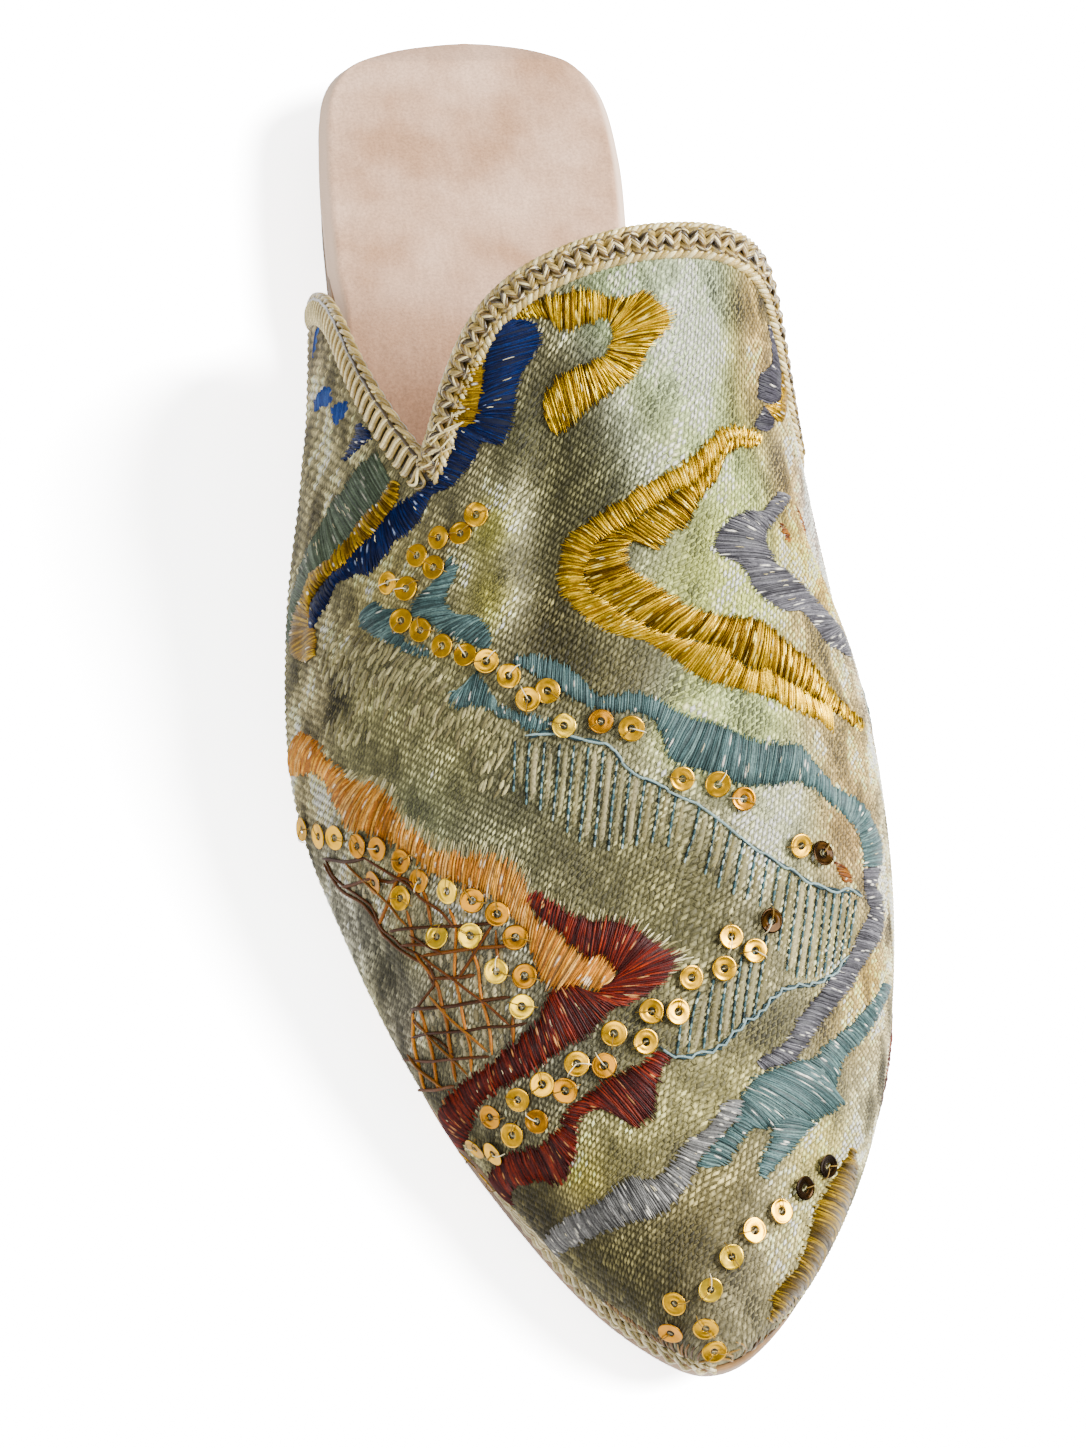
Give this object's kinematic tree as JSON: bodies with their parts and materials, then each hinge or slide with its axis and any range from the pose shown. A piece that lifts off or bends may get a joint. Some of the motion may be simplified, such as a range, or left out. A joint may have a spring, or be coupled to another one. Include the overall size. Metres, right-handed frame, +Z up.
{
  "type": "babouche slipper",
  "caption": "Backless slipper with a pointed toe, high tongue and two side wings: embroidered velvet upper, plaited braid collar, suede insole and leather sole.",
  "frame": {"origin": "middle of the shoe's bounding box, at the floor that the sole stands on", "axes": "-Y points to the toe, +X to the wearer's inner side, +Z up"},
  "size_m": [0.094, 0.25, 0.0877],
  "materials": {
    "outsole_leather": "smooth waxed edge",
    "heel_leather": "stacked leather, waxed",
    "insole_suede": "fine suede nap",
    "velvet": "crushed velvet with satin stitch embroidery and sequins",
    "braid": "glossy plaited cord"
  },
  "bodies": {
    "root": {"outsole": "outsole_leather", "heel": "heel_leather", "insole": "insole_suede", "upper": "velvet", "collar_binding": "braid"}
  },
  "joints": []
}
